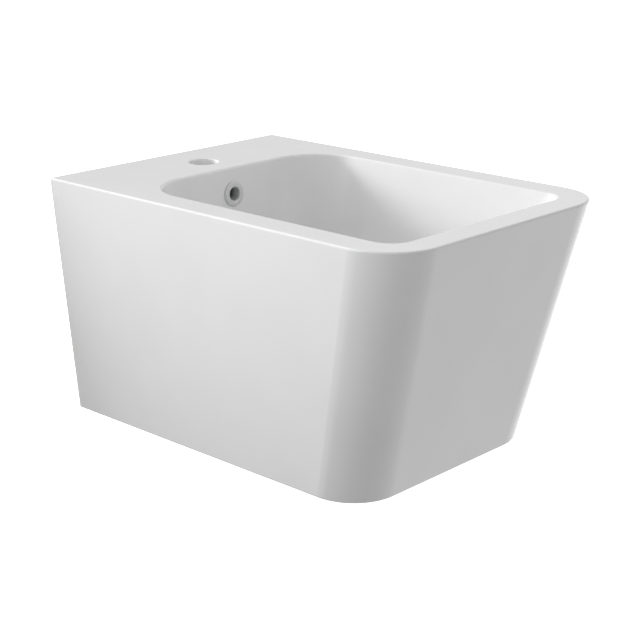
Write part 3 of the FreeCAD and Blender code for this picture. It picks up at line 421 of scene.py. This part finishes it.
wire, tree, shader, place = new_finish("drawn_wire")
shader.inputs["Metallic"].default_value = 1
draw_lines = grain(tree, place, waves=900)
tint(tree, shader, draw_lines, WIRE, WIRE_SHADE)
dull(tree, shader, draw_lines, 0.18, 0.34)
spring = bmesh.new()
bmesh.ops.create_circle(spring, cap_ends=False, segments=WIRE_SIDES, radius=WIRE_RADIUS)
bmesh.ops.rotate(
    spring, verts=spring.verts, cent=(0, 0, 0), matrix=Matrix.Rotation(math.radians(90), 3, "X"))
bmesh.ops.translate(spring, verts=spring.verts, vec=(COIL_RADIUS, 0, COIL_FOOT + WIRE_RADIUS))
coil_steps = STEPS_PER_TURN * COIL_TURNS
coil_rise = COIL_HEAD - COIL_FOOT - 2 * WIRE_RADIUS
bmesh.ops.spin(
    spring, geom=spring.verts[:] + spring.edges[:], cent=(0, 0, 0), axis=(0, 0, 1),
    dvec=(0, 0, coil_rise / coil_steps), angle=2 * math.pi * COIL_TURNS, steps=coil_steps,
    use_duplicate=False)
bmesh.ops.holes_fill(spring, edges=[edge for edge in spring.edges if edge.is_boundary], sides=0)
bmesh.ops.recalc_face_normals(spring, faces=spring.faces)
coil = finished(at_drain(spring), "click_spring", wire, "body", "plug_spring")
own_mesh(coil)

stem = turned([
    (0.0000, -0.0605, 0),
    (0.0035, -0.0605, 0.0006),
    (0.0035, -0.0440, 0),
    (0.0031, -0.0436, 0),
    (0.0031, -0.0424, 0),
    (0.0035, -0.0420, 0),
    (0.0035, -0.0327, 0),
    (0.0000, -0.0327, 0),
], steps=40)
finished(at_drain(stem), "plug_pin", brass, "plug", "plug_stem")


# Plug: a domed brass cap, polished and chrome plated, which stands open above the waste. A flat rubber ring
# under its rim closes on the flange when the cap is pushed down.
cap = turned([
    (0.0000, -0.0327, 0),
    (0.0035, -0.0327, 0),
    (0.0035, -0.0377, 0),
    (0.0070, -0.0377, 0.0007),
    (0.0070, -0.0327, 0.0005),
    (0.0306, -0.0327, 0.0003),
    (0.0310, -0.0320, 0.0003),
    (0.0310, -0.0311, 0.0006),
    (0.0292, -0.02985, 0.0012),
    (0.0250, -0.02902, 0.0030),
    (0.0200, -0.02838, 0.0030),
    (0.0140, -0.02795, 0.0030),
    (0.0070, -0.02773, 0.0030),
    (0.0000, -0.0277, 0),
], steps=128)
finished(at_drain(cap), "plug_dome", chrome, "plug", "plug_cap")
lip = turned([
    (0.0210, -0.0347, 0.0004),
    (0.0250, -0.0347, 0.0007),
    (0.0250, -0.0327, 0),
    (0.0210, -0.0327, 0),
], steps=96)
finished(at_drain(lip), "plug_ring", rubber, "plug", "plug_seal")


# Trap inlet: a flat rubber washer on the trap's flange, and a ribbed plastic nut that draws the trap up to
# the tail of the waste.
INLET_NUT_RADIUS = 0.0251
INLET_RIB_FOOT = -0.1094
INLET_RIB_HEAD = -0.0920
NUT_RIBS = 12
NUT_RIB_SHARE = 0.24
RIB_HEIGHT = 0.0016
RIB_ROUNDING = 0.45 * RIB_HEIGHT
RIB_SEGMENTS = 3
SKIN_TOLERANCE = 0.0004
UPRIGHT_LIMIT = 0.1


def with_ribs(mesh, radius, low, high, count, share):
    """Raise grip ribs on a turned piece, between two heights, each over a share of its pitch."""
    pitch = 2 * math.pi / count

    def on_rib(face):
        middle = face.calc_center_median()
        flat = middle.to_2d()
        off = (math.atan2(flat.y, flat.x) + pitch / 2) % pitch - pitch / 2
        outside = abs(flat.length - radius) < SKIN_TOLERANCE and abs(face.normal.z) < UPRIGHT_LIMIT
        return outside and low < middle.z < high and abs(off) < pitch * share / 2

    footing = [face for face in mesh.faces if on_rib(face)]
    ribs = bmesh.ops.extrude_face_region(mesh, geom=footing)["geom"]
    for vert in ribs:
        if isinstance(vert, bmesh.types.BMVert):
            vert.co = (*(vert.co.to_2d() * (radius + RIB_HEIGHT) / radius), vert.co.z)
    tops = {face for face in ribs if isinstance(face, bmesh.types.BMFace)}
    edges = {
        edge for face in tops for edge in face.edges
        if not all(other in tops for other in edge.link_faces)}
    bmesh.ops.bevel(
        mesh, geom=list(edges), offset=RIB_ROUNDING, offset_type="OFFSET", segments=RIB_SEGMENTS,
        profile=0.5, material=-1, affect="EDGES", clamp_overlap=True)
    bmesh.ops.recalc_face_normals(mesh, faces=mesh.faces)
    return mesh


inlet_seal = turned([
    (0.0145, -0.1050, 0.0005),
    (0.0207, -0.1050, 0.0005),
    (0.0207, -0.1020, 0.0005),
    (0.0145, -0.1020, 0.0005),
], steps=64)
finished(at_drain(inlet_seal), "inlet_seal", rubber, "body", "trap_inlet_washer")
inlet_nut = turned([
    (0.0178, -0.1110, 0.0004),
    (INLET_NUT_RADIUS, -0.1110, 0.0012),
    (INLET_NUT_RADIUS, INLET_RIB_FOOT, 0),
    (INLET_NUT_RADIUS, INLET_RIB_HEAD, 0),
    (INLET_NUT_RADIUS, -0.0890, 0.0010),
    (0.0211, -0.0890, 0.0006),
    (0.0211, -0.1080, 0),
    (0.0178, -0.1080, 0),
], steps=96)
inlet_nut = with_ribs(
    inlet_nut, INLET_NUT_RADIUS, INLET_RIB_FOOT, INLET_RIB_HEAD, NUT_RIBS, NUT_RIB_SHARE)
finished(at_drain(inlet_nut), "inlet_nut", plastic, "body", "trap_inlet_nut")


# Bottle trap: a moulded white body with its dip tube and outlet branch, and a cup that screws up over its
# skirt on a flat seal, so that it can be taken off and emptied by hand.
COLLAR_RADIUS = 0.0341
COLLAR_RIB_FOOT = -0.1842
COLLAR_RIB_HEAD = -0.1712
COLLAR_RIBS = 16
COLLAR_RIB_SHARE = 0.22

coat("trap_body", plastic)
cup_seal = turned([
    (0.0285, -0.1856, 0.0003),
    (0.0310, -0.1856, 0.0003),
    (0.0310, -0.1836, 0.0003),
    (0.0285, -0.1836, 0.0003),
], steps=64)
finished(at_drain(cup_seal), "cup_seal", rubber, "body", "trap_cup_seal")
cup = turned([
    (0.0000, -0.2225, 0),
    (0.0120, -0.2225, 0),
    (0.0135, -0.2217, 0.0005),
    (0.0170, -0.2217, 0.0005),
    (0.0185, -0.2225, 0.0005),
    (0.0255, -0.2225, 0.0030),
    (0.0305, -0.2165, 0.0040),
    (0.0315, -0.1886, 0.0016),
    (COLLAR_RADIUS, -0.1856, 0.0012),
    (COLLAR_RADIUS, COLLAR_RIB_FOOT, 0),
    (COLLAR_RADIUS, COLLAR_RIB_HEAD, 0),
    (COLLAR_RADIUS, -0.1696, 0.0010),
    (0.0311, -0.1696, 0.0005),
    (0.0311, -0.1856, 0),
    (0.0285, -0.1856, 0),
    (0.0275, -0.2135, 0.0020),
    (0.0225, -0.2195, 0.0020),
    (0.0000, -0.2195, 0),
], steps=96)
cup = with_ribs(cup, COLLAR_RADIUS, COLLAR_RIB_FOOT, COLLAR_RIB_HEAD, COLLAR_RIBS, COLLAR_RIB_SHARE)
finished(at_drain(cup), "trap_bottle", plastic, "cup", "trap_cup")


# Outlet: a ribbed slip nut and a tapered rubber washer grip a plain plastic pipe in the trap's branch. The
# pipe runs level to the wall, with its end eased so that it enters the drain's collar.
OUTLET = Vector((0, -0.285, -0.142))
OUTLET_NUT_RADIUS = 0.0241
OUTLET_RIB_FOOT = 0.0412
OUTLET_RIB_HEAD = 0.0590


def toward_wall(mesh):
    """Lay a turned piece along the outlet, its heights counted from the drain's axis to the wall."""
    bmesh.ops.transform(
        mesh, verts=mesh.verts,
        matrix=Matrix.Translation(OUTLET) @ Matrix.Rotation(math.radians(-90), 4, "X"))
    return mesh


outlet_seal = turned([
    (0.0161, 0.0540, 0.0003),
    (0.0197, 0.0540, 0.0004),
    (0.01875, 0.0590, 0.0004),
    (0.0161, 0.0590, 0.0003),
], steps=64)
finished(toward_wall(outlet_seal), "outlet_seal", rubber, "body", "trap_outlet_washer")
outlet_nut = turned([
    (0.0201, 0.0400, 0.0005),
    (OUTLET_NUT_RADIUS, 0.0400, 0.0008),
    (OUTLET_NUT_RADIUS, OUTLET_RIB_FOOT, 0),
    (OUTLET_NUT_RADIUS, OUTLET_RIB_HEAD, 0),
    (OUTLET_NUT_RADIUS, 0.0620, 0.0012),
    (0.0163, 0.0620, 0.0004),
    (0.0163, 0.0590, 0),
    (0.0201, 0.0590, 0),
], steps=96)
outlet_nut = with_ribs(
    outlet_nut, OUTLET_NUT_RADIUS, OUTLET_RIB_FOOT, OUTLET_RIB_HEAD, NUT_RIBS, NUT_RIB_SHARE)
finished(toward_wall(outlet_nut), "outlet_nut", plastic, "body", "trap_outlet_nut")
pipe = turned([
    (0.0145, 0.0340, 0.0003),
    (0.0160, 0.0340, 0.0004),
    (0.0160, 0.2850, 0.0001),
    (0.01575, 0.2850, 0.0001),
    (0.01575, 0.3400, 0.0009),
    (0.0145, 0.3400, 0.0002),
], steps=80)
finished(toward_wall(pipe), "drain_pipe", plastic, "body", "outlet_pipe")


# Wall rosette: a cover ring spun from brass sheet, polished and chrome plated. It slides on the pipe and
# hides the hole in the wall.
rosette = turned([
    (0.0163, 0.2725, 0.0003),
    (0.0178, 0.2725, 0.0007),
    (0.0208, 0.2785, 0.0030),
    (0.0380, 0.2830, 0.0010),
    (0.0380, 0.2845, 0.0003),
    (0.0365, 0.2845, 0.0003),
    (0.0193, 0.2800, 0.0020),
    (0.0163, 0.2755, 0),
], steps=128)
finished(toward_wall(rosette), "wall_cover_ring", chrome, "body", "wall_rosette")


# Wall studs: two zinc-plated steel rods, threaded at both ends, which stand in the wall frame and carry the
# body. Each has a plain shank where it passes through the rear web.
STUD_SPACING = 0.18
ZINC = (0.68, 0.70, 0.72, 1)
ZINC_SHADE = (0.52, 0.54, 0.57, 1)
STUD_CREST = 0.006
STUD_ROOT = 0.0051
STUD_PITCH = 0.00175
STUD_RIDGE = ((STUD_ROOT, 0), (STUD_ROOT, 0.25), (STUD_CREST, 0.5625), (STUD_CREST, 0.6875), (STUD_ROOT, 1))
STUD_POINT = 0.0012
POINT_SHARE = 0.86
THREAD_STEPS = 24
LEAD_IN = 2
RUN_OUT = 1
CUT_TOLERANCE = 1e-8


def at_studs(mesh):
    """Stand a piece on each stud, its heights counted out from the wall."""
    bmesh.ops.rotate(
        mesh, verts=mesh.verts, cent=(0, 0, 0), matrix=Matrix.Rotation(math.radians(90), 3, "X"))
    bmesh.ops.translate(mesh, verts=mesh.verts, vec=(STUD_SPACING / 2, 0, 0))
    twin = bmesh.ops.duplicate(mesh, geom=mesh.verts[:] + mesh.edges[:] + mesh.faces[:])["geom"]
    twin_verts = [vert for vert in twin if isinstance(vert, bmesh.types.BMVert)]
    bmesh.ops.translate(mesh, verts=twin_verts, vec=(-STUD_SPACING, 0, 0))
    return mesh


def threaded(mesh, low, high, low_point, high_point):
    """Add a threaded length: the ridge swept up a helix, past both ends, then cut flat there and pointed."""
    part = bmesh.new()
    ridge = [
        part.verts.new((radius, 0, low + (share - LEAD_IN) * STUD_PITCH)) for radius, share in STUD_RIDGE]
    for here, there in zip(ridge, ridge[1:]):
        part.edges.new((here, there))
    turns = math.ceil((high - low) / STUD_PITCH) + LEAD_IN + RUN_OUT
    bmesh.ops.spin(
        part, geom=part.verts[:] + part.edges[:], cent=(0, 0, 0), axis=(0, 0, 1),
        dvec=(0, 0, STUD_PITCH / THREAD_STEPS), angle=2 * math.pi * turns, steps=THREAD_STEPS * turns,
        use_duplicate=False)
    bmesh.ops.remove_doubles(part, verts=part.verts, dist=TOUCHING)
    for height, way, point in ((low, -1, low_point), (high, 1, high_point)):
        cut = bmesh.ops.bisect_plane(
            part, geom=part.verts[:] + part.edges[:] + part.faces[:], dist=CUT_TOLERANCE,
            plane_co=(0, 0, height), plane_no=(0, 0, way), clear_outer=True)["geom_cut"]
        rim = [edge for edge in cut if isinstance(edge, bmesh.types.BMEdge)]
        end = bmesh.ops.edgeloop_fill(part, edges=rim)["faces"]
        raised = bmesh.ops.extrude_face_region(part, geom=end)["geom"]
        end_verts = [vert for vert in raised if isinstance(vert, bmesh.types.BMVert)]
        bmesh.ops.scale(part, verts=end_verts, vec=(POINT_SHARE, POINT_SHARE, 1))
        bmesh.ops.translate(part, verts=end_verts, vec=(0, 0, way * point))
    bmesh.ops.recalc_face_normals(part, faces=part.faces)
    copied = bpy.data.meshes.new("thread")
    part.to_mesh(copied)
    part.free()
    mesh.from_mesh(copied)
    bpy.data.meshes.remove(copied)


zinc, tree, shader, place = new_finish("bright_zinc_plate")
shader.inputs["Metallic"].default_value = 1
spangle = grain(tree, place, waves=220, detail=4)
tint(tree, shader, spread(tree, spangle, 0.4, 0.75), ZINC, ZINC_SHADE)
dull(tree, shader, spangle, 0.22, 0.42)
dimple(tree, shader, grain(tree, place, waves=1500), depth=0.00004)
stud = turned([
    (0.0000, 0.0000, 0),
    (0.0051, 0.0000, 0),
    (0.0054, 0.0006, 0),
    (0.0054, 0.0204, 0),
    (0.0051, 0.0210, 0),
    (0.0000, 0.0210, 0),
], steps=32)
threaded(stud, low=-0.0738, high=0.0000, low_point=STUD_POINT, high_point=0)
threaded(stud, low=0.0210, high=0.0403, low_point=0, high_point=STUD_POINT)
finished(at_studs(stud), "threaded_studs", zinc, "body", "wall_studs")


# Stud sleeves, washers and nuts: a grey plastic sleeve keeps each stud off the fired clay, a broad washer
# spreads the load on its flange, and a steel nut draws the body to the wall.
sleeve = turned([
    (0.0063, 0.0005, 0.0004),
    (0.0136, 0.0005, 0.0010),
    (0.0136, 0.0180, 0),
    (0.0200, 0.0180, 0.0004),
    (0.0200, 0.0210, 0.0008),
    (0.0063, 0.0210, 0.0004),
], steps=64)
finished(at_studs(sleeve), "web_sleeves", grey, "body", "stud_sleeves")
washer = turned([
    (0.0065, 0.0210, 0.0003),
    (0.0180, 0.0210, 0.0004),
    (0.0180, 0.0235, 0.0007),
    (0.0065, 0.0235, 0.0003),
], steps=64)
finished(at_studs(washer), "load_washers", zinc, "body", "stud_washers")
nut = hexagon_nut(flats=0.018, bore=0.0061, low=0.0235, high=0.0335, softness=0.0007)
finished(at_studs(nut), "fixing_nuts", zinc, "body", "stud_nuts")


# Nut covers: thin caps moulded in white plastic. They are pushed over the nuts, so that no sharp end is left
# under the deck.
cover = turned([
    (0.0000, 0.0431, 0),
    (0.0000, 0.0447, 0),
    (0.0076, 0.0447, 0.0020),
    (0.0124, 0.0399, 0.0024),
    (0.0124, 0.0250, 0),
    (0.0127, 0.0246, 0.0002),
    (0.0127, 0.0235, 0.0003),
    (0.0108, 0.0235, 0.0003),
    (0.0108, 0.0399, 0.0014),
    (0.0076, 0.0431, 0.0014),
], steps=64)
finished(at_studs(cover), "nut_caps", plastic, "body", "nut_covers")


# Stage: a pale floor under the piece, as far below the foot as when the rim hangs 400 mm high. It is clear
# from below, so that the underside can be looked at.
FLOOR_HEIGHT = -0.32
FLOOR_REACH = 30
PAPER = (0.9, 0.9, 0.9, 1)
PAPER_GLOW = (1, 1, 1, 1)
PAPER_ROUGHNESS = 0.9


def studio_sheet(mesh, name, finish):
    """Turn the mesh into a sheet of the studio, which isn't part of the object."""
    data = bpy.data.meshes.new(name)
    mesh.to_mesh(data)
    mesh.free()
    data.materials.append(finish)
    sheet = bpy.data.objects.new(name, data)
    bpy.context.scene.collection.objects.link(sheet)
    return sheet


paper, tree, shader, place = new_finish("white_paper")
shader.inputs["Base Color"].default_value = PAPER
shader.inputs["Roughness"].default_value = PAPER_ROUGHNESS
shader.inputs["Emission Color"].default_value = PAPER_GLOW
shader.inputs["Emission Strength"].default_value = 1
clear = tree.nodes.new("ShaderNodeBsdfTransparent")
sided = tree.nodes.new("ShaderNodeMixShader")
tree.links.new(tree.nodes.new("ShaderNodeNewGeometry").outputs["Backfacing"], sided.inputs["Fac"])
tree.links.new(shader.outputs["BSDF"], sided.inputs[1])
tree.links.new(clear.outputs["BSDF"], sided.inputs[2])
tree.links.new(sided.outputs["Shader"], tree.nodes["Material Output"].inputs["Surface"])
grid = bmesh.new()
bmesh.ops.create_grid(grid, x_segments=1, y_segments=1, size=FLOOR_REACH)
bmesh.ops.translate(grid, verts=grid.verts, vec=(0, 0, FLOOR_HEIGHT))
floor = studio_sheet(grid, "floor", paper)
floor.visible_diffuse = False
floor.visible_glossy = False
floor.visible_shadow = False


# Light: a dim even surround with six broad soft boxes far off, two key panels well behind the piece, and a
# long panel close on its left. The panels are hidden from reflections, so that the glaze shows no hard
# streak. A soft box has an azimuth, an elevation and a reach in degrees, and a strength.
SURROUND = 0.08
SOFT_BOXES = {
    "rear_left": (228, 15, 55, 0.97),
    "right": (85, 10, 60, 0.79),
    "right_low": (106, -53, 76, 0.96),
    "below": (0, -80, 60, 0.57),
    "overhead": (39, 78, 97, 0.41),
    "front_high": (0, 45, 60, 0.31),
}
MIDDLE = Vector((0, -0.25, 0))
KEY_DISTANCE = 3
AIM = Vector((-0.08, -0.25, -0.03))


def heading(azimuth, elevation):
    """The direction of a compass angle, counted from the front toward the right, and of a height angle."""
    turn = math.radians(azimuth)
    tilt = math.radians(elevation)
    return Vector((math.sin(turn) * math.cos(tilt), -math.cos(turn) * math.cos(tilt), math.sin(tilt)))


# A panel has a place, a width and a height, and its watts.
PANELS = {
    "key_low": (MIDDLE + KEY_DISTANCE * heading(195, 17), (0.7, 0.7), 68),
    "key_high": (MIDDLE + KEY_DISTANCE * heading(188, 24), (0.7, 0.7), 37),
    "fill": (Vector((-0.55, -0.25, 0.15)), (0.8, 0.4), 1.2),
}

world = bpy.data.worlds.new("studio")
bpy.context.scene.world = world
world.use_nodes = True
tree = world.node_tree
way = tree.nodes.new("ShaderNodeTexCoord").outputs["Generated"]
glow = None
for azimuth, elevation, reach, strength in SOFT_BOXES.values():
    toward = tree.nodes.new("ShaderNodeVectorMath")
    toward.operation = "DOT_PRODUCT"
    toward.inputs[1].default_value = heading(azimuth, elevation)
    tree.links.new(way, toward.inputs[0])
    base = SURROUND if glow is None else 0
    rim_cosine = math.cos(math.radians(reach))
    falloff = spread(tree, toward.outputs["Value"], rim_cosine, 1, base, base + strength)
    falloff.node.interpolation_type = "SMOOTHSTEP"
    glow = falloff if glow is None else reckon(tree, "ADD", glow, falloff)
seen = tree.nodes.new("ShaderNodeMix")
tree.links.new(tree.nodes.new("ShaderNodeLightPath").outputs["Is Camera Ray"], seen.inputs["Factor"])
tree.links.new(glow, seen.inputs["A"])
seen.inputs["B"].default_value = 1
tree.nodes["Background"].inputs["Color"].default_value = (1, 1, 1, 1)
tree.links.new(seen.outputs["Result"], tree.nodes["Background"].inputs["Strength"])
for name, (spot, (width, height), watts) in PANELS.items():
    lamp = bpy.data.lights.new(name, "AREA")
    lamp.shape = "RECTANGLE"
    lamp.size = width
    lamp.size_y = height
    lamp.energy = watts
    holder = bpy.data.objects.new(name, lamp)
    holder.location = spot
    holder.rotation_mode = "QUATERNION"
    holder.rotation_quaternion = (AIM - spot).to_track_quat("-Z", "Y")
    holder.visible_camera = False
    holder.visible_glossy = False
    bpy.context.scene.collection.objects.link(holder)


# Flag: a card that stands where the wall would be and keeps the key panels off the wall face. It only casts
# shade: no camera, and no light that bounces, meets it.
CARD = (0.18, 0.18, 0.18, 1)
FLAG_DISTANCE = 0.08
FLAG_TOP = 0.092
FLAG_LEFT = -0.195
FLAG_RIGHT = 0.178

card, tree, shader, place = new_finish("grey_card")
shader.inputs["Base Color"].default_value = CARD
grid = bmesh.new()
bmesh.ops.create_grid(grid, x_segments=1, y_segments=1, size=0.5)
bmesh.ops.scale(grid, verts=grid.verts, vec=(FLAG_RIGHT - FLAG_LEFT, FLAG_TOP - FLOOR_HEIGHT, 1))
bmesh.ops.rotate(
    grid, verts=grid.verts, cent=(0, 0, 0), matrix=Matrix.Rotation(math.radians(90), 3, "X"))
bmesh.ops.translate(
    grid, verts=grid.verts,
    vec=((FLAG_LEFT + FLAG_RIGHT) / 2, FLAG_DISTANCE, (FLAG_TOP + FLOOR_HEIGHT) / 2))
flag = studio_sheet(grid, "flag", card)
flag.visible_camera = False
flag.visible_diffuse = False
flag.visible_glossy = False
flag.visible_transmission = False


# Camera: the photograph's viewpoint, found from the outline's corners. The lens is a long one, and the
# picture is shown with its plain tones.
EYE = (-1.2377, -1.4050, 0.4584)
GAZE = Vector((0.6975, 0.6500, -0.3016))
SENSOR_WIDTH = 36
FOCAL_LENGTH = 87.42

lens = bpy.data.cameras.new("camera")
lens.sensor_width = SENSOR_WIDTH
lens.lens = FOCAL_LENGTH
camera = bpy.data.objects.new("camera", lens)
camera.location = EYE
camera.rotation_mode = "QUATERNION"
camera.rotation_quaternion = GAZE.to_track_quat("-Z", "Y")
bpy.context.scene.collection.objects.link(camera)
bpy.context.scene.camera = camera
bpy.context.scene.view_settings.view_transform = "Standard"
